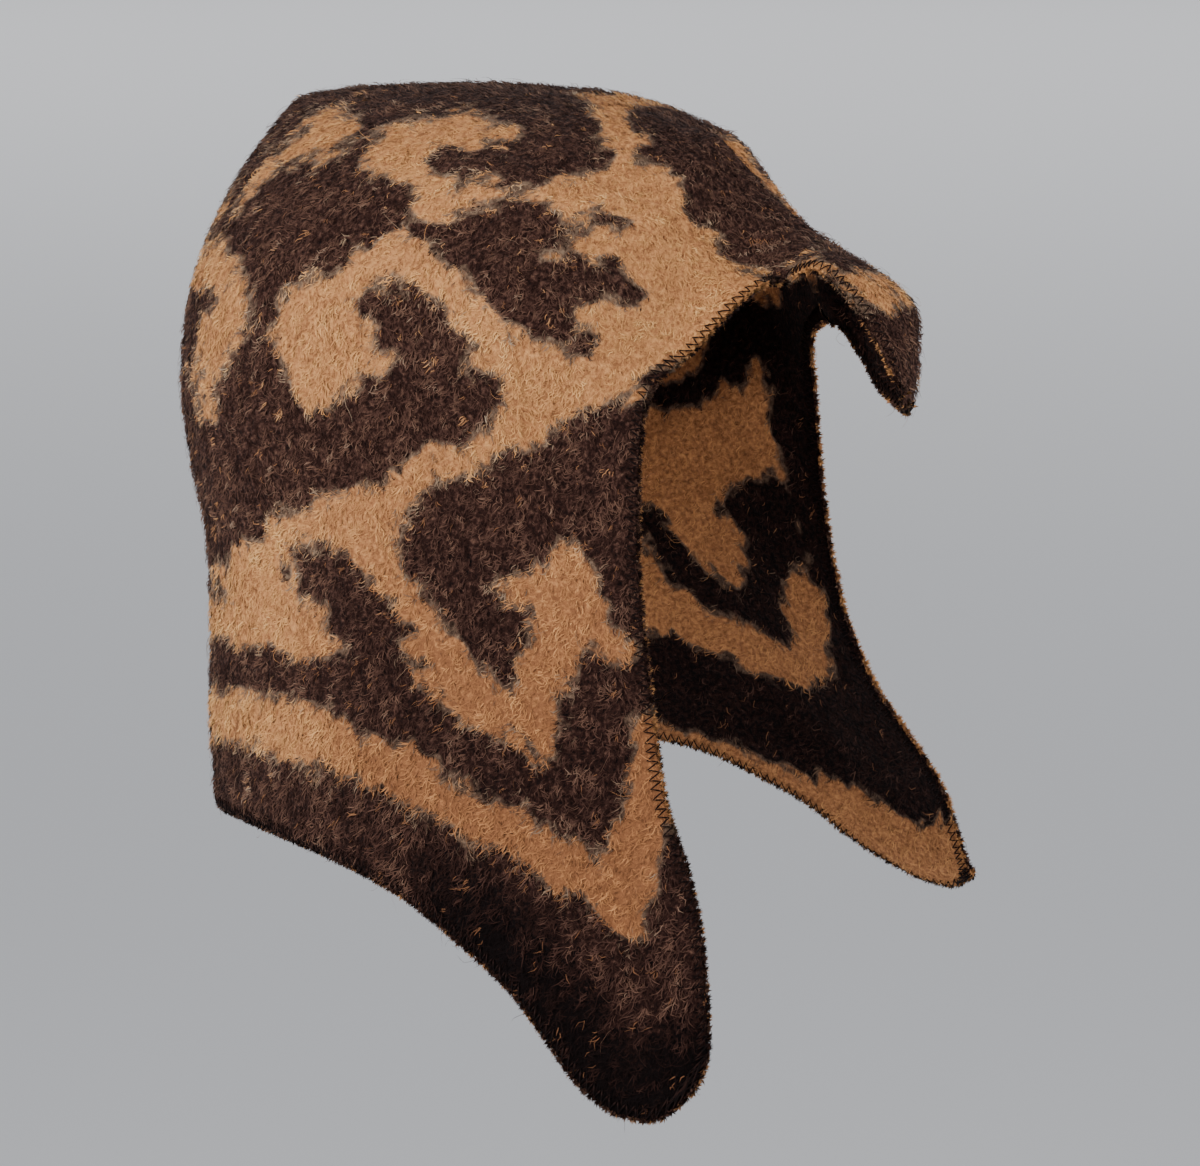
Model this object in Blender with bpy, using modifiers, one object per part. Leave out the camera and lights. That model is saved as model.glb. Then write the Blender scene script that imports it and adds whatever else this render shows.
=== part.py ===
"""Sauna hat cut from a thick napped wool blanket.

Two mirrored side panels meet in one seam that runs from the nape up the back of the head,
over the crown, down the forehead and out to the tip of a small pointed peak. Each panel is
cut in one with its ear flap. The hat keeps the form it has on a head: the flaps stand off
the cheeks, the right one a little less than the left, and the peak is twisted, with the
edge on the wearer's right turned up.

The front faces -Y, the wearer's left is +X and up is +Z. The origin is the inside of the
crown, where the head touches it. The tables are in millimetres: forward is -Y, out is
the distance sideways from the seam, and up is Z.
"""
import math

import bmesh
import bpy
import numpy as np

MM = 0.001

# Cloth and seam
CLOTH = 2.6                  # thickness of the blanket
SEAM_GAP = 0.15              # from the middle plane to each panel's seam edge

# The seam, in the middle plane: forward, up
BACK_SEAM = [(-94, -221), (-94, -190), (-93, -160), (-94, -133), (-98.5, -112),
             (-101, -92), (-99.5, -70), (-94, -48), (-84, -25), (-70, -2)]
TOP_SEAM = [(-70, -2), (-50, 1), (-10, 3), (28, 1), (52, -4), (71, -10)]
BROW_SEAM = [(71, -10), (79, -18.5), (89, -28), (100, -36.5)]
PEAK_SEAM = [(100, -36.5), (115, -46.5), (131, -56.5), (135, -66), (137.5, -78), (138.5, -95)]

# The free edge, from the nape round the flap and the face to the peak: forward, out, up
NAPE_HEM = [(-94, 0, -221), (-82, 38, -218), (-50, 70, -215), (-10, 95, -216), (16, 106, -221),
            (36, 112, -230), (55, 117, -241), (67, 120, -252), (79, 122.5, -264), (90, 123, -271)]
FLAP_END = [(90, 123, -271), (102, 121, -271.5), (110, 115, -264)]
FLAP_FRONT = [(110, 115, -264), (111.5, 107, -254), (107, 100, -229), (100, 93, -211),
              (89.5, 86, -191), (83, 79, -170), (79, 76, -150), (75.5, 74, -125)]
FACE_EDGE = [(75.5, 74, -125), (74.5, 70, -95), (76, 63, -77), (84, 50, -69),
             (92, 37, -62), (98.5, 27, -58), (102.5, 21, -59)]
PEAK_EDGE = [(102.5, 21, -59), (107.5, 26.5, -62), (115, 30, -67), (126, 23, -78),
             (134, 14, -87), (138, 3, -93)]

# Half the width of the hat at its side: up, out
SIDE_WIDTH = [(-290, 128), (-250, 120), (-215, 110), (-180, 99), (-140, 89), (-100, 84),
              (-60, 82), (5, 80)]
# The share of that width that the crown has further forward: forward, share
BROW_TAPER = [(-110, 1), (20, 1), (45, 0.94), (62, 0.80), (76, 0.62), (90, 0.46), (100, 0.40),
              (140, 0.36)]
BROW_TAPER_UP = (-125, -70)  # the taper starts at this height and is whole at that one

# Rounding from the seam out to the side: depth in mm, and the power of the superellipse
BACK_ROUND, BACK_POWER = 88, 2.1
TOP_ROUND, TOP_POWER, BROW_POWER = 80, 2.4, 2.0
POWER_FORWARD = (30, 75)     # the top's power gives way to the brow's between these
EDGE_POWER = 2.5             # how close to a free edge the surface eases over to that edge
PEAK_ARCH = 0.5              # the peak's section, from a flat roof (0) to a quarter round (1)

# Soft folds: middle (forward, up), lean forward in degrees, half length, half width, height
FOLDS = [(-78, -168, 0, 55, 13, 3.0),       # ridge down the back corner, below the back of the head
         (-34, -128, 12, 50, 22, -2.5),     # hollow beside it
         (34, -100, 62, 42, 12, -2.0),      # crease that runs back from the temple
         (62, -214, -24, 42, 15, 2.5),      # ridge down the flap
         (30, -34, 80, 34, 12, -2.0)]       # dip where the crown turns over

# The worn form
TWIST = math.radians(44)     # turn of the peak about its seam
TWIST_FORWARD = (77, 127)    # the twist starts here and is whole there
TWIST_UP = (-130, -100)      # nothing below the first height is twisted
SPREAD_UP = (-135, -265)     # the left flap starts to stand off here and is furthest out there
LIFT_UP = (-245, -275)       # its end is lifted from here, and whole there
SPREAD_OUT = (0, 70)         # and none of it reaches the seam: it is whole this far out
LEFT_SPREAD, LEFT_LIFT = 9, 8.5

# Rows and columns of faces
COLUMNS, ROWS = 26, 28       # nape to flap front, hem to crown
NECK_ROWS = 4                # the rows that run on into the peak
PEAK_COLUMNS = 8
TURN_COLUMNS = 0.65          # share of the columns on the rounded back, and the depth they take
TURN_DEPTH = 0.55
STRAIGHT_ROWS = 0.54         # share of the rows on the straight side, and the height they take
STRAIGHT_HEIGHT = 0.645
CROWN_TURN = 0.5             # how far the crown's columns follow the rounded back's
MERGE = 0.00001              # in metres

DARK_BROWN = (0.045, 0.026, 0.021, 1)
MIXED_BROWN = (0.160, 0.085, 0.045, 1)
NAP_ROUGHNESS = 0.95
SMOOTH_UP_TO = math.radians(50)


def smooth_curve(points, steps=16):
    """A Catmull-Rom curve through the points."""
    p = np.asarray(points, float)
    ends = np.vstack([2 * p[0] - p[1], p, 2 * p[-1] - p[-2]])
    t = np.linspace(0, 1, steps, endpoint=False)[:, None]
    spans = [b + 0.5 * ((c - a) * t + (2 * a - 5 * b + 4 * c - d) * t ** 2
                        + (3 * b - a - 3 * c + d) * t ** 3)
             for a, b, c, d in zip(ends, ends[1:], ends[2:], ends[3:])]
    return np.vstack(spans + [p[-1:]])


def join_curves(*tables):
    """Smooth curves end to end, with a corner where two tables meet."""
    curves = [smooth_curve(table) for table in tables]
    return np.vstack([curves[0]] + [curve[1:] for curve in curves[1:]])


def along(curve, share):
    """Points at shares of a curve's length."""
    steps = np.linalg.norm(np.diff(curve, axis=0), axis=1)
    length = np.concatenate([[0], np.cumsum(steps)])
    return np.stack([np.interp(share, length / length[-1], column) for column in curve.T], -1)


def read_table(table, x):
    """The second column of a table at x, smoothly between its rows."""
    curve = smooth_curve(table)
    return np.interp(x, curve[:, 0], curve[:, 1])


def quarter_round(depth, radius, power):
    """0 at the seam, rising like a quarter of a superellipse to 1 at the radius."""
    d = np.clip(depth / radius, 0, 1)
    return (1 - (1 - d) ** power) ** (1 / power)


def ease(start, end, x):
    """0 before start, 1 after end, smooth between."""
    t = np.clip((x - start) / (end - start), 0, 1)
    return t * t * (3 - 2 * t)


BACK = join_curves(BACK_SEAM)
CROWN = join_curves(TOP_SEAM, BROW_SEAM)
PEAK_TOP = join_curves(PEAK_SEAM)
CREST = join_curves(TOP_SEAM, BROW_SEAM, PEAK_SEAM[:3])
HEM = join_curves(NAPE_HEM, FLAP_END)
FACE = join_curves(FLAP_FRONT, FACE_EDGE)
PEAK_SIDE = join_curves(PEAK_EDGE)


def crest_height(forward):
    """Height of the seam over the crown, the brow and the peak."""
    return np.interp(forward, CREST[:, 0], CREST[:, 1])


def fold_height(forward, up):
    """The soft folds added together."""
    height = 0
    for mid_forward, mid_up, lean, length, width, rise in FOLDS:
        turn = math.radians(lean)
        f, z = forward - mid_forward, up - mid_up
        down_fold = f * math.sin(turn) + z * math.cos(turn)
        across_fold = f * math.cos(turn) - z * math.sin(turn)
        height = height + rise * np.exp(-(down_fold / length) ** 2 - (across_fold / width) ** 2)
    return height


def side_distance(forward, up):
    """How far the crown and the side stand out from the middle plane."""
    back = np.interp(up, BACK[:, 1], BACK[:, 0])
    taper = 1 + (read_table(BROW_TAPER, forward) - 1) * ease(*BROW_TAPER_UP, up)
    power = TOP_POWER + (BROW_POWER - TOP_POWER) * ease(*POWER_FORWARD, forward)
    out = read_table(SIDE_WIDTH, up) * taper + fold_height(forward, up)
    out = out * quarter_round(forward - back, BACK_ROUND, BACK_POWER)
    return out * quarter_round(crest_height(forward) - up, TOP_ROUND, power)


def rib(edge, seam, share):
    """A roof-like section of the peak, from its free edge (0) to the seam (1)."""
    a = 1 - share[:, None]
    across = (1 - PEAK_ARCH) * a + PEAK_ARCH * np.sin(math.pi / 2 * a)
    drop = (1 - PEAK_ARCH) * a + PEAK_ARCH * (1 - np.cos(math.pi / 2 * a))
    return np.hstack([seam[0] + (edge[0] - seam[0]) * drop,
                      edge[1] * across,
                      seam[1] + (edge[2] - seam[1]) * drop])


def main_surface():
    """Crown, side and flap: columns from the nape to the face, rows from the hem to the crown."""
    u, v = np.linspace(0, 1, COLUMNS + 1), np.linspace(0, 1, ROWS + 1)
    turn = 1 - np.cos(math.pi / 2 * np.clip(u / TURN_COLUMNS, 0, 1))
    depth = TURN_DEPTH * turn + (1 - TURN_DEPTH) * np.clip((u - TURN_COLUMNS) / (1 - TURN_COLUMNS), 0, 1)
    bend = np.sin(math.pi / 2 * np.clip((v - STRAIGHT_ROWS) / (1 - STRAIGHT_ROWS), 0, 1))
    height = STRAIGHT_HEIGHT * np.clip(v / STRAIGHT_ROWS, 0, 1) + (1 - STRAIGHT_HEIGHT) * bend

    neck = rib(PEAK_SIDE[0], PEAK_TOP[0], np.linspace(0, 1, NECK_ROWS + 1))
    face = along(FACE, np.linspace(0, 1, ROWS - NECK_ROWS + 1))
    front = np.vstack([face, neck[1:]])
    back, hem = along(BACK, height), along(HEM, u)
    crown = along(CROWN, CROWN_TURN * depth + (1 - CROWN_TURN) * u)

    # The side view is a patch between its four borders.
    s, t = depth[:, None, None], height[None, :, None]
    flat_front, flat_hem = front[:, ::2], hem[:, ::2]
    side_view = ((1 - s) * back[None] + s * flat_front[None]
                 + (1 - t) * flat_hem[:, None] + t * crown[:, None]
                 - (1 - s) * (1 - t) * back[0] - s * (1 - t) * flat_front[0]
                 - (1 - s) * t * back[-1] - s * t * flat_front[-1])
    forward, up = side_view[..., 0], side_view[..., 1]

    # Near the free edges the surface eases over to the edge's own distance.
    out = side_distance(forward, up)
    near_front, near_hem = depth[:, None] ** EDGE_POWER, (1 - height[None]) ** EDGE_POWER
    front_error, hem_error = front[:, 1] - out[-1], hem[:, 1] - out[:, 0]
    out = (out + near_front * front_error[None] + near_hem * hem_error[:, None]
           - near_front * near_hem * front_error[0])
    return np.stack([forward, out, up], -1)


def peak_surface(neck):
    """Half of the peak: columns from its neck to its tip, rows from its edge to the seam."""
    rows = np.linspace(0, 1, NECK_ROWS + 1)
    ribs = [rib(along(PEAK_SIDE, c / PEAK_COLUMNS), along(PEAK_TOP, c / PEAK_COLUMNS), rows)
            for c in range(1, PEAK_COLUMNS + 1)]
    return np.array([neck] + ribs)


def worn_form(points, side):
    """Spreads the left flap and twists the peak. Points are x, y, z in millimetres."""
    x, y, z = points.T
    if side > 0:
        off_seam = ease(*SPREAD_OUT, x)
        x, z = (x + LEFT_SPREAD * ease(*SPREAD_UP, z) * off_seam,
                z + LEFT_LIFT * ease(*LIFT_UP, z) * off_seam)
    angle = TWIST * ease(*TWIST_FORWARD, -y) * ease(*TWIST_UP, z)
    axis = crest_height(-y)
    below = z - axis
    return np.stack([x * np.cos(angle) + below * np.sin(angle), y,
                     axis + below * np.cos(angle) - x * np.sin(angle)], -1)


def add_patch(bm, points):
    """A grid of faces whose corners are moved to an array of points."""
    columns, rows = points.shape[0] - 1, points.shape[1] - 1
    grid = bmesh.ops.create_grid(bm, x_segments=columns, y_segments=rows, size=0.5)
    for vert in grid["verts"]:
        i, j = round((vert.co.x + 0.5) * columns), round((vert.co.y + 0.5) * rows)
        vert.co = points[i, j]


def cloth_material(name, colour):
    material = bpy.data.materials.new(name)
    material.use_nodes = True
    material.diffuse_color = colour
    shader = material.node_tree.nodes["Principled BSDF"]
    shader.inputs["Base Color"].default_value = colour
    shader.inputs["Roughness"].default_value = NAP_ROUGHNESS
    shader.inputs["Metallic"].default_value = 0.0
    return material


def side_panel(name, side, material, collection):
    """One panel. side is -1 on the wearer's right and 1 on the left."""
    main = main_surface()
    bm = bmesh.new()
    for patch in (main, peak_surface(main[-1, ROWS - NECK_ROWS:])):
        forward, out, up = np.moveaxis(patch, -1, 0)
        add_patch(bm, np.stack([side * (out + SEAM_GAP), -forward, up], -1) * MM)
    bmesh.ops.remove_doubles(bm, verts=bm.verts, dist=MERGE)
    if side > 0:
        bmesh.ops.reverse_faces(bm, faces=bm.faces)
    mesh = bpy.data.meshes.new(name)
    bm.to_mesh(mesh)
    bm.free()

    panel = bpy.data.objects.new(name, mesh)
    collection.objects.link(panel)
    cloth = panel.modifiers.new("cloth", "SOLIDIFY")
    cloth.thickness = CLOTH * MM
    cloth.offset = -1
    cloth.use_even_offset = True

    # The cloth is made before the twist, while the seam still lies in the middle plane,
    # so that its inner face can stop at that plane.
    solid = bpy.data.meshes.new_from_object(panel.evaluated_get(bpy.context.evaluated_depsgraph_get()))
    solid.name = name
    panel.modifiers.clear()
    panel.data = solid
    points = np.empty(len(solid.vertices) * 3)
    solid.vertices.foreach_get("co", points)
    points = points.reshape(-1, 3) / MM
    points[:, 0] = side * np.maximum(side * points[:, 0], SEAM_GAP)
    solid.vertices.foreach_set("co", (worn_form(points, side) * MM).ravel())
    solid.update()
    solid.shade_smooth()
    solid.set_sharp_from_angle(angle=SMOOTH_UP_TO)
    solid.materials.clear()
    solid.materials.append(material)
    return panel


def main():
    for old in list(bpy.data.objects):
        bpy.data.objects.remove(old, do_unlink=True)
    hat = bpy.data.collections.new("sauna_hat")
    bpy.context.scene.collection.children.link(hat)
    seat = bpy.data.objects.new("head_seat", None)
    seat.empty_display_size = 0.03
    hat.objects.link(seat)
    right = side_panel("side_panel_right", -1, cloth_material("blanket_right", MIXED_BROWN), hat)
    left = side_panel("side_panel_left", 1, cloth_material("blanket_left", DARK_BROWN), hat)
    for panel in (right, left):
        panel.parent = seat


main()
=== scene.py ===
# %% [markdown]
# # A sauna hat cut from a napped wool blanket
# The real hat is two mirrored panels of thick blanket cloth, each cut in one with its ear flap
# and half of a small pointed peak, and joined by one seam from the nape over the crown to the
# tip of the peak. The raw edges are overlocked with brown zigzag thread. The blanket is woven
# double, dark brown and tan, so its inside shows the same ornament with the colours changed
# over, and its pile is brushed up into a nap.
#
# This file dresses that hat. Each panel is a dense surface worked out with numpy, and on it
# grow the nap, the tufts at the raw edges and the stitches, as joined meshes of small ribbons.

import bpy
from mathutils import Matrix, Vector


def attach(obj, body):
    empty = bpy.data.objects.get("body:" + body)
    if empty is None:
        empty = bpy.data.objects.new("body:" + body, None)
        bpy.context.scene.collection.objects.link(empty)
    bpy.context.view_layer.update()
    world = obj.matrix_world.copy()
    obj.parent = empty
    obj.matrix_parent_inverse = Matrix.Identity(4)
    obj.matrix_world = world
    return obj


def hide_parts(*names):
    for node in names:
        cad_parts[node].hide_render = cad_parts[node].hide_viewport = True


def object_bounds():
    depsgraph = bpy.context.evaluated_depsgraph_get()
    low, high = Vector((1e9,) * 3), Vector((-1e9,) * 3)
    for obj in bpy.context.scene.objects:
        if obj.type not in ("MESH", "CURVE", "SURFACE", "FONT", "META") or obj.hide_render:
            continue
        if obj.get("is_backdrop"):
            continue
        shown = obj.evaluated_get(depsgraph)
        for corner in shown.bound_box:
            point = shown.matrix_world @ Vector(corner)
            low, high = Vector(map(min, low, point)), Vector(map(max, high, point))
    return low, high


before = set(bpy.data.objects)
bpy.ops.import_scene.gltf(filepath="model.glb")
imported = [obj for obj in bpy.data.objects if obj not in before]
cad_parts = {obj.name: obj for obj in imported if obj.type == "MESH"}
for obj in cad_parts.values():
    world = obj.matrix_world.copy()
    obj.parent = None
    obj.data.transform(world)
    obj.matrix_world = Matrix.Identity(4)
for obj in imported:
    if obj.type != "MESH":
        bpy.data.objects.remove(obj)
cad_box = [list(corner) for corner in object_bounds()]
print("solids", sorted(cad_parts))

# %% Tools and units
import math

import bpy
import numpy as np
from mathutils import Matrix, Vector

MM = 0.001

# %% [markdown]
# ## Colours
# Colours are sRGB hex values, picked and then adjusted until the render's mean tones agreed with
# the photograph's. A shader works in linear light, so one function turns them.

# %% Hex to linear light
def linear(code):
    """The linear colour of an sRGB hex code: the part under 0.04045 is divided by 12.92, and the
    rest is ((c + 0.055) / 1.055) to the power 2.4."""
    srgb = np.array([int(code[i:i + 2], 16) for i in (1, 3, 5)]) / 255
    light = np.where(srgb < 0.04045, srgb / 12.92, ((srgb + 0.055) / 1.055) ** 2.4)
    return (*light.tolist(), 1.0)


# %% [markdown]
# ## Where the camera stands
# The hat is seen from its right side, 24 degrees in front of the pure side view and a little
# from above, through a long lens. The camera comes early, because the ornament is charted in the
# picture's own pixels and is looked up through this same camera.

# %% The camera's place, in millimetres
PICTURE = (1200, 1166)           # pixels across and down
TURNED_FORWARD = math.radians(24)
LOOKING_DOWN = math.radians(10)
DISTANCE = 1200.0
SENSOR, LENS = 36.0, 120.0
FOCAL = LENS / SENSOR * PICTURE[0]   # in pixels
CROWN_PIXEL = (505, 93)          # where the origin, the inside of the crown, is seen

BACK = np.array([-math.cos(TURNED_FORWARD) * math.cos(LOOKING_DOWN),
                 -math.sin(TURNED_FORWARD) * math.cos(LOOKING_DOWN), math.sin(LOOKING_DOWN)])
RIGHT = np.array([math.sin(TURNED_FORWARD), -math.cos(TURNED_FORWARD), 0.0])
ABOVE = np.cross(RIGHT, -BACK)
PIXEL = DISTANCE / FOCAL         # millimetres a pixel at the hat
TARGET = (-(CROWN_PIXEL[0] - PICTURE[0] / 2) * PIXEL * RIGHT
          - (PICTURE[1] / 2 - CROWN_PIXEL[1]) * PIXEL * ABOVE)
EYE = TARGET + DISTANCE * BACK
print("one pixel is", round(PIXEL, 3), "mm at the hat")


def to_pixels(points):
    """Where points are seen: sideways and up from the view's axis, over the depth, times the
    focal length in pixels."""
    ray = points - EYE
    depth = ray @ -BACK
    return np.stack([PICTURE[0] / 2 + FOCAL * (ray @ RIGHT) / depth,
                     PICTURE[1] / 2 - FOCAL * (ray @ ABOVE) / depth], -1)


# %% The camera itself
lens = bpy.data.cameras.new("long_lens")
lens.lens, lens.sensor_width = LENS, SENSOR
lens.clip_start, lens.clip_end = 0.05, 100
camera = bpy.data.objects.new("camera", lens)
bpy.context.scene.collection.objects.link(camera)
axes = np.stack([RIGHT, ABOVE, BACK], 1)
camera.matrix_world = Matrix.Translation(Vector(EYE * MM)) @ Matrix(axes.tolist()).to_4x4()
bpy.context.scene.camera = camera

# %% [markdown]
# ## The pattern pieces
# The panels repeat the solids of the frame, only finer. These are the same tables: forward is
# the way the wearer faces, out is the distance from the middle plane, and up is up, all in
# millimetres from the inside of the crown.

# %% The seam and the free edge
CLOTH = 2.6                      # the blanket with its nap, face to face
BACK_SEAM = [(-94, -221), (-94, -190), (-93, -160), (-94, -133), (-98.5, -112),
             (-101, -92), (-99.5, -70), (-94, -48), (-84, -25), (-70, -2)]
TOP_SEAM = [(-70, -2), (-50, 1), (-10, 3), (28, 1), (52, -4), (71, -10)]
BROW_SEAM = [(71, -10), (79, -18.5), (89, -28), (100, -36.5)]
PEAK_SEAM = [(100, -36.5), (115, -46.5), (131, -56.5), (135, -66), (137.5, -78), (138.5, -95)]
NAPE_HEM = [(-94, 0, -221), (-82, 38, -218), (-50, 70, -215), (-10, 95, -216), (16, 106, -221),
            (36, 112, -230), (55, 117, -241), (67, 120, -252), (79, 122.5, -264), (90, 123, -271)]
FLAP_END = [(90, 123, -271), (102, 121, -271.5), (110, 115, -264)]
FLAP_FRONT = [(110, 115, -264), (111.5, 107, -254), (107, 100, -229), (100, 93, -211),
              (89.5, 86, -191), (83, 79, -170), (79, 76, -150), (75.5, 74, -125)]
FACE_EDGE = [(75.5, 74, -125), (74.5, 70, -95), (76, 63, -77), (84, 50, -69),
             (92, 37, -62), (98.5, 27, -58), (102.5, 21, -59)]
PEAK_EDGE = [(102.5, 21, -59), (107.5, 26.5, -62), (115, 30, -67), (126, 23, -78),
             (134, 14, -87), (138, 3, -93)]

# %% How the panel stands out from the middle plane
SIDE_WIDTH = [(-290, 128), (-250, 120), (-215, 110), (-180, 99), (-140, 89), (-100, 84),
              (-60, 82), (5, 80)]
BROW_TAPER = [(-110, 1), (20, 1), (45, 0.94), (62, 0.80), (76, 0.62), (90, 0.46), (100, 0.40),
              (140, 0.36)]
BROW_TAPER_UP = (-125, -70)
BACK_ROUND, BACK_POWER = 88, 2.1
TOP_ROUND, TOP_POWER, BROW_POWER = 80, 2.4, 2.0
POWER_FORWARD = (30, 75)
EDGE_POWER = 2.5
PEAK_ARCH = 0.5
FOLDS = [(-78, -168, 0, 55, 13, 3.0),
         (-34, -128, 12, 50, 22, -2.5),
         (34, -100, 62, 42, 12, -2.0),
         (62, -214, -24, 42, 15, 2.5),
         (30, -34, 80, 34, 12, -2.0)]
TWIST = math.radians(44)
TWIST_FORWARD, TWIST_UP = (77, 127), (-130, -100)
SPREAD_UP, LIFT_UP, SPREAD_OUT = (-135, -265), (-245, -275), (0, 70)
LEFT_SPREAD, LEFT_LIFT = 9, 8.5

# %% Rows and columns
FINER = 5                        # faces here for each face of the solids, along a side
COLUMNS, ROWS, NECK_ROWS, PEAK_COLUMNS = 26 * FINER, 28 * FINER, 4 * FINER, 8 * FINER
TURN_COLUMNS, TURN_DEPTH = 0.65, 0.55
STRAIGHT_ROWS, STRAIGHT_HEIGHT = 0.54, 0.645
CROWN_TURN = 0.5
CHAIN_STEPS = 6                  # how many corners are followed inward from the free edge
SEAM_GAP = 0.02                  # the sewn panels touch


# %% Curves through the tables
def smooth_curve(points, steps=16, closed=False):
    """A Catmull-Rom curve: between two points it is the cubic that leaves each one along the line
    between that point's neighbours."""
    p = np.asarray(points, float)
    ends = np.vstack([p[-1:], p, p[:2]]) if closed else np.vstack([2 * p[0] - p[1], p, 2 * p[-1] - p[-2]])
    a, b, c, d = (ends[k:len(ends) - 3 + k, None] for k in range(4))
    t = np.linspace(0, 1, steps, endpoint=False)[None, :, None]
    curve = b + 0.5 * ((c - a) * t + (2 * a - 5 * b + 4 * c - d) * t ** 2
                       + (3 * b - a - 3 * c + d) * t ** 3)
    return np.vstack([curve.reshape(-1, p.shape[1]), p[:1] if closed else p[-1:]])


def join_curves(*tables):
    """Smooth curves end to end, with a corner where two tables meet."""
    curves = [smooth_curve(table) for table in tables]
    return np.vstack([curves[0]] + [curve[1:] for curve in curves[1:]])


def lengths(curve):
    """The distance along a curve at each of its points."""
    return np.concatenate([[0], np.cumsum(np.linalg.norm(np.diff(curve, axis=0), axis=1))])


def along(curve, share):
    """Points at shares of a curve's length."""
    length = lengths(curve)
    return np.stack([np.interp(share, length / length[-1], column) for column in curve.T], -1)


def read_table(table, x):
    """The second column of a table at x, smoothly between its rows."""
    curve = smooth_curve(table)
    return np.interp(x, curve[:, 0], curve[:, 1])


def ease(start, end, x):
    """0 before start, 1 after end, and 3 t squared - 2 t cubed between."""
    t = np.clip((x - start) / (end - start), 0, 1)
    return t * t * (3 - 2 * t)


BACK_LINE = join_curves(BACK_SEAM)
CROWN_LINE = join_curves(TOP_SEAM, BROW_SEAM)
PEAK_TOP = join_curves(PEAK_SEAM)
CREST = join_curves(TOP_SEAM, BROW_SEAM, PEAK_SEAM[:3])
HEM = join_curves(NAPE_HEM, FLAP_END)
FACE = join_curves(FLAP_FRONT, FACE_EDGE)
PEAK_SIDE = join_curves(PEAK_EDGE)
print("free edge of one panel", round(sum(lengths(c)[-1] for c in (HEM, FACE, PEAK_SIDE))), "mm")


# %% [markdown]
# ## The surface of a panel
# Seen from the side, a panel is a patch stretched between its four borders. How far each point
# stands out from the middle plane is a table read at its height, rounded off towards the seam by
# a superellipse, and eased over to the true distance of the free edge. The peak is a second,
# small patch of roof-shaped ribs.

# %% The distance from the middle plane
def quarter_round(depth, radius, power):
    """0 at the seam and 1 at the radius: one minus (1 - depth / radius) to the power, and the
    power's root of that."""
    d = np.clip(depth / radius, 0, 1)
    return (1 - (1 - d) ** power) ** (1 / power)


def crest_height(forward):
    """Height of the seam over the crown, the brow and the peak."""
    return np.interp(forward, CREST[:, 0], CREST[:, 1])


def fold_height(forward, up):
    """The soft folds added together, each a bell shape along and across its own line."""
    height = 0
    for mid_forward, mid_up, lean, length, width, rise in FOLDS:
        turn = math.radians(lean)
        f, z = forward - mid_forward, up - mid_up
        down_fold = f * math.sin(turn) + z * math.cos(turn)
        across_fold = f * math.cos(turn) - z * math.sin(turn)
        height = height + rise * np.exp(-(down_fold / length) ** 2 - (across_fold / width) ** 2)
    return height


def side_distance(forward, up):
    """Width at that height, times the taper towards the brow, times the two rounded shoulders."""
    back = np.interp(up, BACK_LINE[:, 1], BACK_LINE[:, 0])
    taper = 1 + (read_table(BROW_TAPER, forward) - 1) * ease(*BROW_TAPER_UP, up)
    power = TOP_POWER + (BROW_POWER - TOP_POWER) * ease(*POWER_FORWARD, forward)
    out = read_table(SIDE_WIDTH, up) * taper + fold_height(forward, up)
    out = out * quarter_round(forward - back, BACK_ROUND, BACK_POWER)
    return out * quarter_round(crest_height(forward) - up, TOP_ROUND, power)


# %% The two patches
def rib(edge, seam, share):
    """A roof-like section of the peak, half straight and half a quarter circle, from its free edge
    (share 0) to the seam (share 1)."""
    a = 1 - share[:, None]
    across = (1 - PEAK_ARCH) * a + PEAK_ARCH * np.sin(math.pi / 2 * a)
    drop = (1 - PEAK_ARCH) * a + PEAK_ARCH * (1 - np.cos(math.pi / 2 * a))
    return np.hstack([seam[0] + (edge[0] - seam[0]) * drop,
                      edge[1] * across,
                      seam[1] + (edge[2] - seam[1]) * drop])


def main_surface():
    """Crown, side and flap as columns from the nape to the face and rows from the hem to the
    crown: the sum of the two straight blends between opposite borders, less the blend of the
    four corners."""
    u, v = np.linspace(0, 1, COLUMNS + 1), np.linspace(0, 1, ROWS + 1)
    turn = 1 - np.cos(math.pi / 2 * np.clip(u / TURN_COLUMNS, 0, 1))
    depth = TURN_DEPTH * turn + (1 - TURN_DEPTH) * np.clip((u - TURN_COLUMNS) / (1 - TURN_COLUMNS), 0, 1)
    bend = np.sin(math.pi / 2 * np.clip((v - STRAIGHT_ROWS) / (1 - STRAIGHT_ROWS), 0, 1))
    height = STRAIGHT_HEIGHT * np.clip(v / STRAIGHT_ROWS, 0, 1) + (1 - STRAIGHT_HEIGHT) * bend

    neck = rib(PEAK_SIDE[0], PEAK_TOP[0], np.linspace(0, 1, NECK_ROWS + 1))
    front = np.vstack([along(FACE, np.linspace(0, 1, ROWS - NECK_ROWS + 1)), neck[1:]])
    back, hem = along(BACK_LINE, height), along(HEM, u)
    crown = along(CROWN_LINE, CROWN_TURN * depth + (1 - CROWN_TURN) * u)

    s, t = depth[:, None, None], height[None, :, None]
    flat_front, flat_hem = front[:, ::2], hem[:, ::2]
    side_view = ((1 - s) * back[None] + s * flat_front[None]
                 + (1 - t) * flat_hem[:, None] + t * crown[:, None]
                 - (1 - s) * (1 - t) * back[0] - s * (1 - t) * flat_front[0]
                 - (1 - s) * t * back[-1] - s * t * flat_front[-1])
    forward, up = side_view[..., 0], side_view[..., 1]

    out = side_distance(forward, up)
    near_front, near_hem = depth[:, None] ** EDGE_POWER, (1 - height[None]) ** EDGE_POWER
    front_error, hem_error = front[:, 1] - out[-1], hem[:, 1] - out[:, 0]
    out = (out + near_front * front_error[None] + near_hem * hem_error[:, None]
           - near_front * near_hem * front_error[0])
    return np.stack([forward, out, up], -1)


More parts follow.
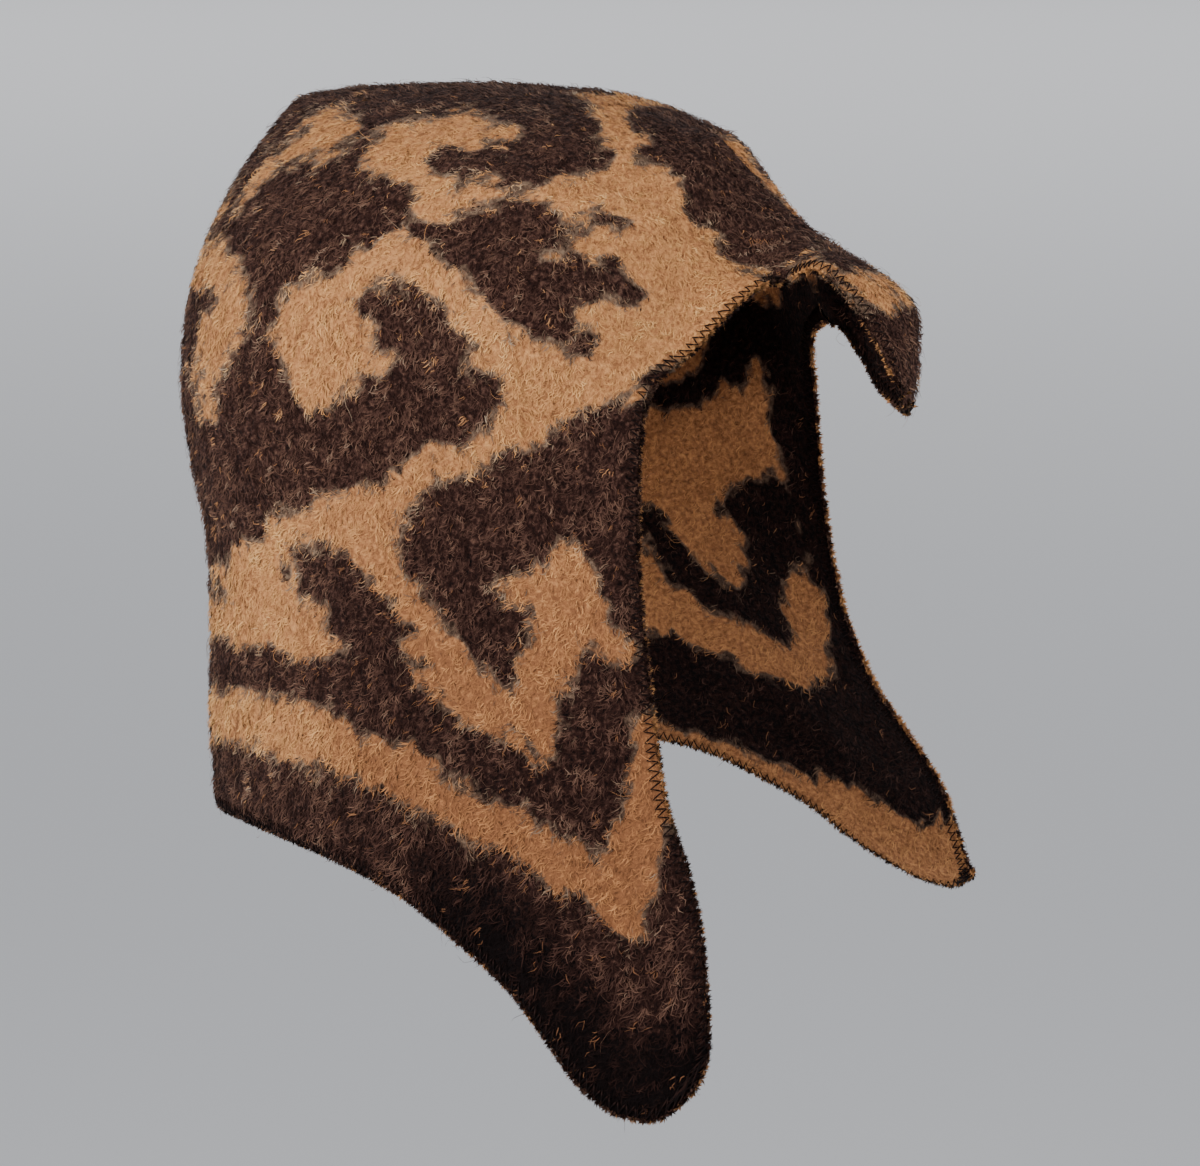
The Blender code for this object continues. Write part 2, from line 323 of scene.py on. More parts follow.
def peak_surface():
    """Half of the peak without its neck: columns to the tip, rows from the edge to the seam."""
    rows = np.linspace(0, 1, NECK_ROWS + 1)
    shares = np.arange(1, PEAK_COLUMNS + 1) / PEAK_COLUMNS
    edges, seams = along(PEAK_SIDE, shares), along(PEAK_TOP, shares)
    return np.array([rib(edge, seam, rows) for edge, seam in zip(edges, seams)])


# %% One net of corners and faces
main_patch, peak_patch = main_surface(), peak_surface()
FORM = np.vstack([main_patch.reshape(-1, 3), peak_patch.reshape(-1, 3)])   # forward, out, up

MAIN = np.arange((COLUMNS + 1) * (ROWS + 1)).reshape(COLUMNS + 1, ROWS + 1)
PEAK = np.vstack([MAIN[-1:, ROWS - NECK_ROWS:],
                  MAIN.size + np.arange(PEAK_COLUMNS * (NECK_ROWS + 1)).reshape(PEAK_COLUMNS, -1)])


def faces_of(net):
    """The four corners of every cell of a net of corner numbers."""
    return np.stack([net[:-1, :-1], net[1:, :-1], net[1:, 1:], net[:-1, 1:]], -1).reshape(-1, 4)


QUADS = np.vstack([faces_of(MAIN), faces_of(PEAK)])
EDGE_CHAIN = np.stack([np.concatenate([MAIN[:, k], MAIN[-1 - k, 1:ROWS - NECK_ROWS + 1], PEAK[1:, k],
                                       PEAK[-1 - k, 1:]]) for k in range(CHAIN_STEPS)])
FREE_EDGE = EDGE_CHAIN[0]
SEAM = np.concatenate([PEAK[-2::-1, -1], MAIN[-2::-1, -1], MAIN[0, -2:0:-1]])
RIM = np.concatenate([FREE_EDGE, SEAM])
print("a panel's face has", len(FORM), "corners and", len(QUADS), "faces")


# %% [markdown]
# ## How a panel is worn
# Worn, the flaps stand off a little, the left one more, and the peak is twisted about its seam so
# that its edge on the right turns up. Both are applied to the finished form.

# %% Spread and twist
ON_RIGHT, ON_LEFT = -1, 1        # the two panels, by the wearer's right and left


def worn_form(points, side):
    """Moves the left flap out and up, and turns what is forward of the brow about the crest line
    by an angle that eases in."""
    x, y, z = points.T
    if side == ON_LEFT:
        off_seam = ease(*SPREAD_OUT, x)
        x, z = (x + LEFT_SPREAD * ease(*SPREAD_UP, z) * off_seam,
                z + LEFT_LIFT * ease(*LIFT_UP, z) * off_seam)
    angle = TWIST * ease(*TWIST_FORWARD, -y) * ease(*TWIST_UP, z)
    axis = crest_height(-y)
    below = z - axis
    return np.stack([x * np.cos(angle) + below * np.sin(angle), y,
                     axis + below * np.cos(angle) - x * np.sin(angle)], -1)


def cut_form(side):
    """The panel before it is worn, as x, y, z."""
    forward, out, up = FORM.T
    return np.stack([side * (out + SEAM_GAP), -forward, up], -1)


def face_vectors(points):
    """The cross product of each face's diagonals: along its normal, and twice its area long."""
    a, b, c, d = (points[QUADS[:, k]] for k in range(4))
    return np.cross(c - a, d - b)


def corner_normals(points, side):
    """The average of the face normals round each corner, pointing out of the hat."""
    faces = face_vectors(points)
    total = np.zeros_like(points)
    for k in range(4):
        np.add.at(total, QUADS[:, k], faces)
    total /= np.linalg.norm(total, axis=1, keepdims=True)
    return total * np.sign(np.sum(total[:, 0]) * side)


# %% Distances over the surface
SLICE = 2000                     # points worked out at once, to save memory


def distance_to(points, line):
    """The least distance from each point to the corners of a line."""
    near = [np.sqrt(((part[:, None] - line[None]) ** 2).sum(-1).min(1))
            for part in np.array_split(points, 1 + len(points) // SLICE)]
    return np.concatenate(near)


def fine_line(numbers, step=0.4):
    """A border of the net, with a point at every step."""
    line = FORM[numbers]
    return along(line, np.linspace(0, 1, int(lengths(line)[-1] / step)))


TO_EDGE = distance_to(FORM, fine_line(FREE_EDGE))
TO_HEM = distance_to(FORM, fine_line(MAIN[:, 0]))
TO_SEAM = distance_to(FORM, fine_line(np.concatenate([FREE_EDGE[-1:], SEAM, FREE_EDGE[:1]])))

def walked(grid, axis):
    """The distance covered along one way of a grid, at each point after the first."""
    return np.cumsum(np.linalg.norm(np.diff(grid, axis=axis), axis=2), axis=axis)


# Millimetres along the rows and up the columns, for the weave and the lie of the nap
across = np.pad(walked(main_patch, 0), ((1, 0), (0, 0)))
upward = np.pad(walked(main_patch, 1), ((0, 0), (1, 0)))
peak_across = across[-1:, ROWS - NECK_ROWS:] + walked(FORM[PEAK], 0)
peak_upward = np.broadcast_to(upward[-1:, ROWS - NECK_ROWS:], peak_across.shape)
WEAVE = np.stack([np.concatenate([across.ravel(), peak_across.ravel()]),
                  np.concatenate([upward.ravel(), peak_upward.ravel()])], -1)
print("longest row", round(across.max()), "mm, longest column", round(upward.max()), "mm")


# %% [markdown]
# ## The ornament
# The blanket's leafy scrolls are a traditional pattern, and they are charted here as closed
# outlines laid one on another like cut paper: each row is a colour and a few points, in the
# picture's pixels. Every corner of the panel is looked up on this chart through the camera.
# Past the back of the crown, where the camera can't see, the chart goes on flat.

# %% The chart
BACK_STREAK = [(352, 108), (352, 132), (325, 154), (285, 168), (250, 190), (222, 214), (160, 240),
               (115, 258), (108, 242), (150, 222), (222, 200), (262, 173), (282, 145), (318, 115)]
BACK_LEAF = [(217, 236), (236, 262), (246, 300), (240, 342), (219, 374), (208, 416), (198, 395),
             (195, 352), (206, 320), (214, 286), (170, 292), (112, 304), (104, 284), (150, 258),
             (198, 250)]
SCROLL = [(367, 165), (378, 140), (400, 122), (450, 114), (476, 108), (495, 121), (524, 135),
          (506, 139), (484, 138), (478, 148), (450, 147), (428, 157), (432, 175), (466, 184),
          (495, 181), (510, 194), (534, 189), (566, 177), (600, 172), (640, 170), (640, 215),
          (600, 213), (570, 218), (550, 203), (505, 200), (468, 206), (440, 221), (412, 208),
          (412, 182), (390, 169)]
CROWN_STRIPE = [(580, 70), (650, 80), (632, 105), (632, 122), (650, 140), (636, 153), (640, 180),
                (600, 180), (614, 155), (603, 133), (598, 112), (588, 95)]
BIG_HOOK = [(480, 310), (457, 318), (430, 298), (400, 284), (352, 297), (368, 321), (380, 348),
            (397, 354), (395, 374), (363, 376), (340, 392), (312, 411), (300, 395), (275, 345),
            (280, 310), (290, 290), (325, 271), (343, 264), (352, 250), (380, 236), (400, 231),
            (425, 236), (446, 262), (470, 281), (498, 300)]
FOREHEAD = [(600, 172), (640, 156), (682, 186), (692, 216), (718, 238), (724, 250), (744, 262),
            (757, 268), (768, 282), (780, 310), (745, 345), (700, 358), (655, 366), (641, 376),
            (640, 396), (602, 403), (556, 426), (548, 441), (500, 459), (440, 478), (405, 500), (396, 473),
            (428, 450), (486, 438), (499, 383), (473, 368), (474, 350), (456, 315), (455, 290),
            (470, 281), (560, 240)]
ISLAND = [(430, 216), (455, 217), (468, 206), (505, 201), (550, 203), (570, 218), (605, 212),
          (620, 222), (575, 236), (546, 254), (552, 263), (585, 254), (620, 267), (648, 293),
          (642, 300), (598, 299), (575, 302), (574, 317), (599, 331), (592, 351), (560, 353),
          (525, 337), (485, 304), (470, 281), (446, 262), (438, 246), (400, 231), (380, 215)]
LOWER_FIELD = [(90, 598), (212, 598), (222, 566), (240, 546), (262, 542), (268, 518), (302, 507),
               (328, 495), (360, 484), (396, 473), (428, 450), (486, 438), (540, 420), (600, 560),
               (622, 630), (638, 652), (612, 661), (586, 643), (577, 668), (563, 700), (561, 735),
               (546, 761), (508, 735), (470, 722), (440, 692), (420, 678), (424, 662), (400, 648),
               (340, 652), (310, 659), (265, 648), (212, 640), (90, 648)]
BLOB = [(284, 547), (302, 543), (335, 552), (360, 566), (370, 582), (388, 598), (396, 617),
        (413, 628), (404, 645), (424, 661), (400, 690), (345, 680), (344, 650), (320, 628),
        (320, 606), (303, 598), (296, 577), (285, 563)]
CHEEK_HOOK = [(602, 402), (638, 395), (700, 400), (700, 690), (645, 690), (638, 652), (622, 632),
              (601, 592), (599, 570), (578, 548), (563, 548), (527, 566), (500, 583), (502, 596),
              (525, 612), (530, 628), (520, 660), (506, 691), (486, 676), (457, 637), (437, 616),
              (438, 600), (418, 588), (400, 565), (397, 545), (405, 508), (425, 482), (500, 459),
              (548, 441), (556, 426)]
BORDER_BAND = [(90, 685), (215, 688), (262, 696), (310, 706), (348, 724), (405, 744), (440, 765),
               (470, 788), (530, 812), (562, 835), (598, 853), (612, 840), (622, 805), (635, 752),
               (627, 728), (645, 710), (690, 695), (695, 825), (664, 824), (660, 870), (647, 915),
               (638, 936), (608, 921), (582, 896), (548, 880), (508, 850), (465, 838), (440, 820),
               (395, 796), (345, 775), (285, 758), (222, 738), (90, 735)]
PEAK_BAND = [(790, 262), (806, 258), (822, 262), (834, 268), (848, 272), (864, 272), (880, 276),
             (896, 286), (911, 297), (898, 306), (880, 309), (866, 302), (852, 290), (838, 278),
             (826, 272), (810, 272), (796, 276)]
LEFT_BROW_STRIPE = [(735, 118), (750, 138), (765, 175), (795, 208), (788, 222), (762, 200),
                    (742, 175), (726, 148)]
LEFT_CORNER = [(285, 102), (296, 88), (316, 85), (313, 99), (298, 113)]
LEFT_FRONT = [(575, 430), (640, 345), (700, 300), (790, 258), (812, 330), (720, 480), (720, 760),
              (620, 760), (628, 700), (602, 640), (585, 540)]
LEFT_PEAK = [(770, 268), (800, 240), (840, 262), (870, 285), (892, 303), (900, 322), (899, 350),
             (896, 385), (902, 440), (870, 425), (840, 375), (815, 330), (785, 300)]
LEFT_FLAP = [(345, 730), (440, 765), (530, 812), (600, 780), (640, 700), (720, 700), (760, 1000),
             (700, 978), (662, 998), (625, 983), (588, 960), (555, 948), (516, 938), (465, 912),
             (425, 884), (350, 840)]

TAN, DARK = 1, -1
SHARED_CHART = [(TAN, BACK_STREAK), (TAN, BACK_LEAF), (TAN, SCROLL), (TAN, CROWN_STRIPE),
                (TAN, BIG_HOOK), (TAN, FOREHEAD), (DARK, ISLAND), (TAN, LOWER_FIELD), (DARK, BLOB),
                (DARK, CHEEK_HOOK), (TAN, BORDER_BAND), (TAN, PEAK_BAND)]
CHART = {ON_RIGHT: SHARED_CHART,
         ON_LEFT: SHARED_CHART + [(TAN, LEFT_BROW_STRIPE), (TAN, LEFT_CORNER), (TAN, LEFT_FRONT),
                                  (TAN, LEFT_PEAK), (TAN, LEFT_FLAP)]}
REACH = 30                       # pixels past which a distance is of no use


def inside_by(places, outline):
    """How far places lie inside a closed smooth outline, in pixels, negative outside: the distance
    to the nearest of its short straight pieces, and inside where a level line to the right
    crosses it an odd number of times."""
    line = smooth_curve(outline, steps=6, closed=True)
    near = np.all((places > line.min(0) - REACH) & (places < line.max(0) + REACH), axis=1)
    found = np.full(len(places), -float(REACH))
    if near.any():
        p, a, b = places[near][:, None], line[None, :-1], line[None, 1:]
        step = b - a
        t = np.clip(((p - a) * step).sum(-1) / np.maximum((step ** 2).sum(-1), 1e-9), 0, 1)
        away = np.sqrt((((p - a) - t[..., None] * step) ** 2).sum(-1).min(1))
        spans = (a[..., 1] > p[..., 1]) != (b[..., 1] > p[..., 1])
        rise = np.where(step[..., 1] == 0, 1, step[..., 1])
        crossed = spans & (p[..., 0] < a[..., 0] + step[..., 0] * (p[..., 1] - a[..., 1]) / rise)
        found[near] = np.clip(away, 0, REACH) * np.where(crossed.sum(1) % 2, 1, -1)
    return found


def ornament(places, side):
    """Millimetres into the tan (positive) or the dark brown (negative): tan outlines raise the
    value laid down so far, and dark ones lower it."""
    value = np.full(len(places), -float(REACH))
    for colour, outline in CHART[side]:
        depth = inside_by(places, outline)
        value = np.maximum(value, depth) if colour == TAN else np.minimum(value, -depth)
    return value * PIXEL


# %% Each corner's place on the chart
right_form = worn_form(cut_form(ON_RIGHT), ON_RIGHT)
right_normals = corner_normals(right_form, ON_RIGHT)
CHART_PLACE = to_pixels(right_form)
faces_camera = ((EYE - right_form) * right_normals).sum(1) > 0

turned_away = ~faces_camera[MAIN][:COLUMNS // 2]
last_hidden = turned_away.shape[0] - 1 - np.argmax(turned_away[::-1], axis=0)
last_hidden = np.where(turned_away.any(0), last_hidden, 0)
rows = np.arange(ROWS + 1)
limb = CHART_PLACE[MAIN[last_hidden, rows]]
unrolled = limb[None, :, 0] - (across[last_hidden, rows][None] - across) / PIXEL
hidden = np.arange(COLUMNS + 1)[:, None] < last_hidden[None]
CHART_PLACE[MAIN[hidden], 0] = unrolled[hidden]
print("the chart is turned flat on", int(hidden.sum()), "of", MAIN.size, "corners")


# %% [markdown]
# ## Noise for cloth
# Wool is never even, so the relief, the lie of the nap and its tone are all stirred by a smooth
# noise: random numbers on a square lattice, joined by smooth steps. Each use has its own seed, so
# the hat comes out the same every time.

# %% Smooth noise on the weave
LATTICE = 97


def soft_noise(seed, place, size):
    """From -1 to 1: the four random numbers round a place, mixed by how near each one is."""
    numbers = np.random.default_rng(seed).uniform(-1, 1, (LATTICE, LATTICE))
    scaled = place / size
    low = np.floor(scaled).astype(int)
    tx, ty = (ease(0, 1, scaled[..., k] - low[..., k]) for k in (0, 1))

    def corner(i, j):
        return numbers[(low[..., 0] + i) % LATTICE, (low[..., 1] + j) % LATTICE]

    return ((corner(0, 0) * (1 - tx) + corner(1, 0) * tx) * (1 - ty)
            + (corner(0, 1) * (1 - tx) + corner(1, 1) * tx) * ty)


def noise_layers(layers, side):
    """Noises over a panel added together, each with a seed, a size in millimetres and a strength."""
    return sum(strength * soft_noise(seed + side, WEAVE, size) for seed, size, strength in layers)


# %% Meshes from arrays
def make_piece(name, points, corners, sizes, values, material, weave=None):
    """A mesh object from points in millimetres, the corner numbers of its faces one after another,
    each face's number of corners, and named values or vectors, one a point."""
    mesh = bpy.data.meshes.new(name)
    mesh.vertices.add(len(points))
    mesh.vertices.foreach_set("co", (points * MM).astype(np.float32).ravel())
    mesh.loops.add(len(corners))
    mesh.loops.foreach_set("vertex_index", corners.astype(np.int32))
    mesh.polygons.add(len(sizes))
    mesh.polygons.foreach_set("loop_start", np.concatenate([[0], np.cumsum(sizes)[:-1]]).astype(np.int32))
    for key, value in values.items():
        kind, field = ("FLOAT", "value") if value.ndim == 1 else ("FLOAT_VECTOR", "vector")
        mesh.attributes.new(key, kind, "POINT").data.foreach_set(field, value.astype(np.float32).ravel())
    if weave is not None:
        layer = mesh.uv_layers.new(name="weave")
        layer.uv.foreach_set("vector", weave[corners].astype(np.float32).ravel())
    mesh.update(calc_edges=True)
    mesh.validate()
    mesh.shade_smooth()
    mesh.materials.append(material)
    piece = bpy.data.objects.new(name, mesh)
    bpy.context.scene.collection.objects.link(piece)
    triangles = int((sizes - 2).sum())
    print(name, "has", triangles, "triangles")
    return piece


# %% [markdown]
# ## Wool
# Blanket wool is woollen-spun yarn, woven double and brushed until its fibres stand up. It scatters
# light in all directions, so it is rough, with a faint soft bloom at the limb that the sheen
# gives. The tan yarn is nearly even. The dark yarn is a blend: almost black fibres with
# grey-brown ones over them. Where they mingle, the fibres of one lie over the other as a
# grey-beige fringe, a little to the dark side of the border.

# %% Adding shader nodes
def add(tree, kind, inputs=(), **settings):
    """Adds a node of a kind, sets its properties, and links or sets its inputs: a node stands for
    its first output, a pair is a node and an output's name."""
    node = tree.nodes.new(kind)
    for key, value in settings.items():
        setattr(node, key, value)
    for key, value in dict(inputs).items():
        if isinstance(value, bpy.types.Node):
            tree.links.new(value.outputs[0], node.inputs[key])
        elif isinstance(value, tuple) and isinstance(value[0], bpy.types.Node):
            tree.links.new(value[0].outputs[value[1]], node.inputs[key])
        else:
            node.inputs[key].default_value = value
    return node


def new_material(name):
    """A material with an empty tree but for its Principled shader, which is returned with it."""
    material = bpy.data.materials.new(name)
    material.use_nodes = True
    return material, material.node_tree, material.node_tree.nodes["Principled BSDF"]


def ramp(tree, factor, stops):
    """A colour ramp through (place, hex) stops."""
    node = add(tree, "ShaderNodeValToRGB", {"Fac": factor})
    band = node.color_ramp
    while len(band.elements) < len(stops):
        band.elements.new(0.5)
    for element, (place, code) in zip(band.elements, stops):
        element.position, element.color = place, linear(code)
    return node


# %% Colours of the two yarns
TAN_YARN = [(0.0, "#8E5D3D"), (0.22, "#B47A4F"), (0.45, "#D2945F"), (0.75, "#E5A669"), (1.0, "#F5BE7D")]
DARK_YARN = [(0.0, "#0A0303"), (0.3, "#2D1914"), (0.46, "#4B322A"), (0.68, "#6F5041"), (0.88, "#8F7562"),
             (1.0, "#AB9580")]
MINGLED_YARN = [(0.0, "#46342A"), (0.3, "#6E5747"), (0.7, "#9A816A"), (1.0, "#C3AC90")]
DARK_TO_MINGLED, MINGLED_TO_TAN = (-2.1, -0.3), (-0.3, 1.7)      # millimetres into the tan
WOOL_SHINE, SHEEN, SHEEN_ROUGHNESS = 0.1, 0.025, 0.5
GROUND_ROUGHNESS, NAP_ROUGHNESS = 0.95, 0.85


def wool_colour(tree, tone):
    """Across the ornament's border the colour eases from the dark yarn's ramp to the mingled one,
    and from that to the tan one, all read at the same tone."""
    mark = add(tree, "ShaderNodeAttribute", attribute_name="ornament")
    colour = ramp(tree, tone, DARK_YARN)
    for (start, end), yarn in ((DARK_TO_MINGLED, MINGLED_YARN), (MINGLED_TO_TAN, TAN_YARN)):
        share = add(tree, "ShaderNodeMapRange", {"Value": (mark, "Fac"), "From Min": start, "From Max": end},
                    interpolation_type="SMOOTHSTEP")
        before = (colour, 2) if colour.bl_idname == "ShaderNodeMix" else colour
        colour = add(tree, "ShaderNodeMix", {"Factor": share, 6: before, 7: ramp(tree, tone, yarn)},
                     data_type="RGBA")
    return colour


def wool_finish(tree, shader, colour, normal, roughness):
    """Links a colour and a normal, and sets how wool takes the light: it hardly shines, and has a
    little sheen."""
    tree.links.new(colour.outputs[2], shader.inputs["Base Color"])
    tree.links.new(normal.outputs[0], shader.inputs["Normal"])
    shader.inputs["Roughness"].default_value = roughness
    shader.inputs["Specular IOR Level"].default_value = WOOL_SHINE
    shader.inputs["Sheen Weight"].default_value = SHEEN
    shader.inputs["Sheen Roughness"].default_value = SHEEN_ROUGHNESS


# %% Woven ground of the blanket
GROUND_CLUMP, GROUND_FIBRE = 1.5, 0.35           # millimetres across, and apart
CLUMP_BUMP, FIBRE_BUMP = (0.8, 1.2), (0.9, 0.35) # strength, and height in millimetres


def blanket_ground():
    """The felted ground under the nap. Clumps set the tone, and fine fibres, coarser than real
    ones so that they show, give the bump."""
    material, tree, shader = new_material("napped_blanket_ground")
    place = add(tree, "ShaderNodeTexCoord")
    clumps = add(tree, "ShaderNodeTexNoise", {"Vector": (place, "Object"), "Scale": 1 / (GROUND_CLUMP * MM),
                                              "Detail": 3.0, "Roughness": 0.6})
    fibres = add(tree, "ShaderNodeTexNoise", {"Vector": (place, "Object"), "Scale": 1 / (GROUND_FIBRE * MM),
                                              "Detail": 2.0})
    clump_tone = add(tree, "ShaderNodeMapRange", {"Value": clumps, "From Min": 0.25, "From Max": 0.75,
                                                  "To Max": 0.7})
    # The painted shade of the flap, the hem and the inside, taken off the tone
    depth = add(tree, "ShaderNodeAttribute", attribute_name="shade")
    tone = add(tree, "ShaderNodeMath", {0: clump_tone, 1: (depth, "Fac")}, operation="SUBTRACT",
               use_clamp=True)
    bump = None
    for height, (strength, rise) in ((clumps, CLUMP_BUMP), (fibres, FIBRE_BUMP)):
        under = {"Normal": bump} if bump else {}
        bump = add(tree, "ShaderNodeBump", {"Height": height, "Strength": strength, "Distance": rise * MM,
                                            **under})
    wool_finish(tree, shader, wool_colour(tree, tone), bump, GROUND_ROUGHNESS)
    return material


# %% Fibres of the nap
OWN_SHARE = 0.22                 # of a lock's own normal, to one of the cloth's
TIP_LIFT, ROOT_SINK = 0.09, 0.06 # how much lighter and deeper the tone of a lock's two ends is


def nap_fibres():
    """Each ribbon stands for a small lock of fibres. Its tone is one number a lock, a little
    lighter towards the tip. Light scatters on between the fibres, so a lock is shaded less as
    itself than as the cloth it stands on."""
    material, tree, shader = new_material("brushed_wool_nap")
    tone = add(tree, "ShaderNodeAttribute", attribute_name="tone")
    tip = add(tree, "ShaderNodeAttribute", attribute_name="along")
    lifted = add(tree, "ShaderNodeMath", {0: (tip, "Fac"), 1: TIP_LIFT}, operation="MULTIPLY")
    sunk = add(tree, "ShaderNodeMath", {0: (tone, "Fac"), 1: ROOT_SINK}, operation="SUBTRACT")
    both = add(tree, "ShaderNodeMath", {0: sunk, 1: lifted}, operation="ADD", use_clamp=True)
    own = add(tree, "ShaderNodeNewGeometry")
    cloths = add(tree, "ShaderNodeAttribute", attribute_name="cloth_normal")
    weighed = add(tree, "ShaderNodeVectorMath", {0: (own, "Normal"), "Scale": OWN_SHARE}, operation="SCALE")
    summed = add(tree, "ShaderNodeVectorMath", {0: weighed, 1: (cloths, "Vector")}, operation="ADD")
    facing = add(tree, "ShaderNodeVectorMath", {0: summed}, operation="NORMALIZE")
    wool_finish(tree, shader, wool_colour(tree, both), facing, NAP_ROUGHNESS)
    return material


# %% Overlock thread
PLY = 0.9                        # millimetres a turn, coarser than real, so that it shows
THREAD_COLOURS_AND_GLEAM = [(0.0, "#0B0404"), (0.6, "#180C0A"), (1.0, "#2A1814")]
THREAD_ROUGHNESS, THREAD_SHINE = 0.7, 0.1


def overlock_thread():
    """Spun polyester sewing thread: smoother and darker than the wool, with a dull gleam: a little real
    shine, and lighter stripes painted into its colour where its twisted plies rise."""
    material, tree, shader = new_material("spun_polyester_thread")
    place = add(tree, "ShaderNodeAttribute", attribute_name="along")
    turns = add(tree, "ShaderNodeMath", {0: (place, "Fac"), 1: 2 * math.pi / PLY}, operation="MULTIPLY")
    wave = add(tree, "ShaderNodeMath", {0: turns}, operation="SINE")
    ply = add(tree, "ShaderNodeMapRange", {"Value": wave, "From Min": -1.0, "From Max": 1.0})
    # The ply wave paints a gleam: lighter where the plies rise, darker between them
    tree.links.new(ramp(tree, ply, THREAD_COLOURS_AND_GLEAM).outputs[0], shader.inputs["Base Color"])
    shader.inputs["Roughness"].default_value = THREAD_ROUGHNESS
    shader.inputs["Specular IOR Level"].default_value = THREAD_SHINE
    return material


GROUND, NAP, THREAD = blanket_ground(), nap_fibres(), overlock_thread()

# %% [markdown]
# ## The cloth of a panel
# The ground lies half a millimetre under the face of the solid, because the nap stands on it. It
# is quilted by the felting into soft lumps, sinks into a groove at the seam, and is pulled thin
# where the overlock stitches bind the raw edge.

# %% Relief of the ground
NAP_DEPTH = 0.5
LUMPS = [(11, 7.0, 0.16), (12, 3.6, 0.14)]       # seed, size and height in millimetres
GROOVE, GROOVE_WIDTH = 1.1, 3.2
BOUND, BOUND_WIDTH = 0.55, 4.0


def relief(side):
    """How far the two faces of the ground lie under the faces of the solid, at each corner."""
    lumps = noise_layers(LUMPS, side)
    groove = GROOVE * (1 - ease(0, GROOVE_WIDTH, TO_SEAM))
    bound = BOUND * (1 - ease(0, BOUND_WIDTH, TO_EDGE))
    return NAP_DEPTH + lumps + groove + bound, NAP_DEPTH - lumps + bound


def panel_faces(side):
    """The ground's outer face, its inner face and the middle line of its rim, as worn."""
    cut = cut_form(side)
    normals = corner_normals(cut, side)
    outer_sink, inner_sink = relief(side)
    outer = cut - normals * outer_sink[:, None]
    inner = cut - normals * (CLOTH - inner_sink)[:, None]
    rim = (outer[RIM] + inner[RIM]) / 2
    for points in (outer, inner, rim):
        points[:, 0] = side * np.maximum(side * points[:, 0], SEAM_GAP)
    return [worn_form(points, side) for points in (outer, inner, rim)]


# %% [markdown]
# ## Where the two colours meet
# A border of the ornament wavers by a millimetre or two, because the yarns of a double cloth can
# only change places where they cross, and the brushing then drags their fibres over each other.
# The inside shows the opposite colour, except in the peak, which is dark inside.

# %% Both faces' ornament
WAVER = [(21, 6.5, 2.0), (22, 3.0, 2.6)]         # seed, size and reach in millimetres
PEAK_FORWARD, PEAK_UP = (96, 106), (-160, -120)  # where the peak's inside is dark


def marked_cloth(side):
    """The ornament's depth at every corner of the outer face, with the waver added, and of the
    inner face: its opposite, except that all of the peak is dark inside."""
    mark = ornament(CHART_PLACE, side) + noise_layers(WAVER, side)
    in_peak = ease(*PEAK_FORWARD, FORM[:, 0]) * ease(*PEAK_UP, FORM[:, 2])
    return mark, -mark - REACH * in_peak


# %% [markdown]
# ## Painted shade
# Painted shade takes the tone of the yarns down. On the flap it grows the lower and the further
# forward it is, and the tan yarn takes most of it. It grows again in a band along the hem towards
# the front, and lies evenly over the inside of the hat, where the dark yarn takes more of it.

# %% Amounts and masks of the painted shade
FLAP_SHADE_TAN, FLAP_SHADE_DARK = 0.36, 0.09
FLAP_UP, FLAP_FORWARD = (-65, -190), (-45, 15)
HEM_SHADE, HEM_BAND, HEM_FORWARD = 0.38, (26, 8), (5, 50)
INSIDE_SHADE_TAN, INSIDE_SHADE_DARK = 0.15, 0.24
# Where the painted shade falls: down the flap towards its front, and in a band along the hem
flap_shade_mask = ease(*FLAP_UP, FORM[:, 2]) * ease(*FLAP_FORWARD, FORM[:, 0])
hem_shade_mask = ease(*HEM_BAND, TO_HEM) * ease(*HEM_FORWARD, FORM[:, 0])


def tan_share(mark):
    """0 in the dark yarn and 1 in the tan, easing over a millimetre to either side."""
    return ease(-1, 1, mark)


def shade(mark, flap, hem, inside):
    """How much painted shade is taken off the tone of the yarn that shows: on the inside the same
    everywhere, and outside the flap's share plus the hem's."""
    tan = tan_share(mark)
    if inside:
        return INSIDE_SHADE_DARK + (INSIDE_SHADE_TAN - INSIDE_SHADE_DARK) * tan
    yarn = FLAP_SHADE_DARK + (FLAP_SHADE_TAN - FLAP_SHADE_DARK) * tan
    return yarn * flap + HEM_SHADE * hem


# %% Two panels
def side_panel(name, side):
    """Both faces of the ground, and a rim of two strips between them."""
    worn = panel_faces(side)
    count = len(FORM)
    middle = 2 * count + np.arange(len(RIM))
    turn = np.roll(np.arange(len(RIM)), -1)
    strips = [np.stack([top, top[turn], low[turn], low], -1)
              for top, low in ((middle, RIM), (RIM + count, middle))]
    faces = np.vstack([QUADS, QUADS[:, ::-1] + count] + strips)
    if face_vectors(worn[0])[:, 0].sum() * side < 0:
        faces = faces[:, ::-1]

    mark, mark_inside = marked_cloth(side)
    painted_shade_inside = shade(mark_inside, flap_shade_mask, hem_shade_mask, True)
    # The shade values are painted shade: darker down the flap, along the hem and over the inside
    values = {"ornament": np.concatenate([mark, mark_inside, np.zeros(len(RIM))]),
              "shade": np.concatenate([shade(mark, flap_shade_mask, hem_shade_mask, False), painted_shade_inside,
                                       painted_shade_inside[RIM]])}
    weave = np.concatenate([WEAVE, WEAVE, WEAVE[RIM]]) * MM
    piece = make_piece("cloth_of_" + name, np.vstack(worn), faces.ravel(), np.full(len(faces), 4), values,
                       GROUND, weave)
    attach(piece, "root")
    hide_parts(name)
    return piece, worn[:2], (mark, mark_inside)


panel_right, *cloth_right = side_panel("side_panel_right", ON_RIGHT)
panel_left, *cloth_left = side_panel("side_panel_left", ON_LEFT)
cloth = {ON_RIGHT: cloth_right, ON_LEFT: cloth_left}

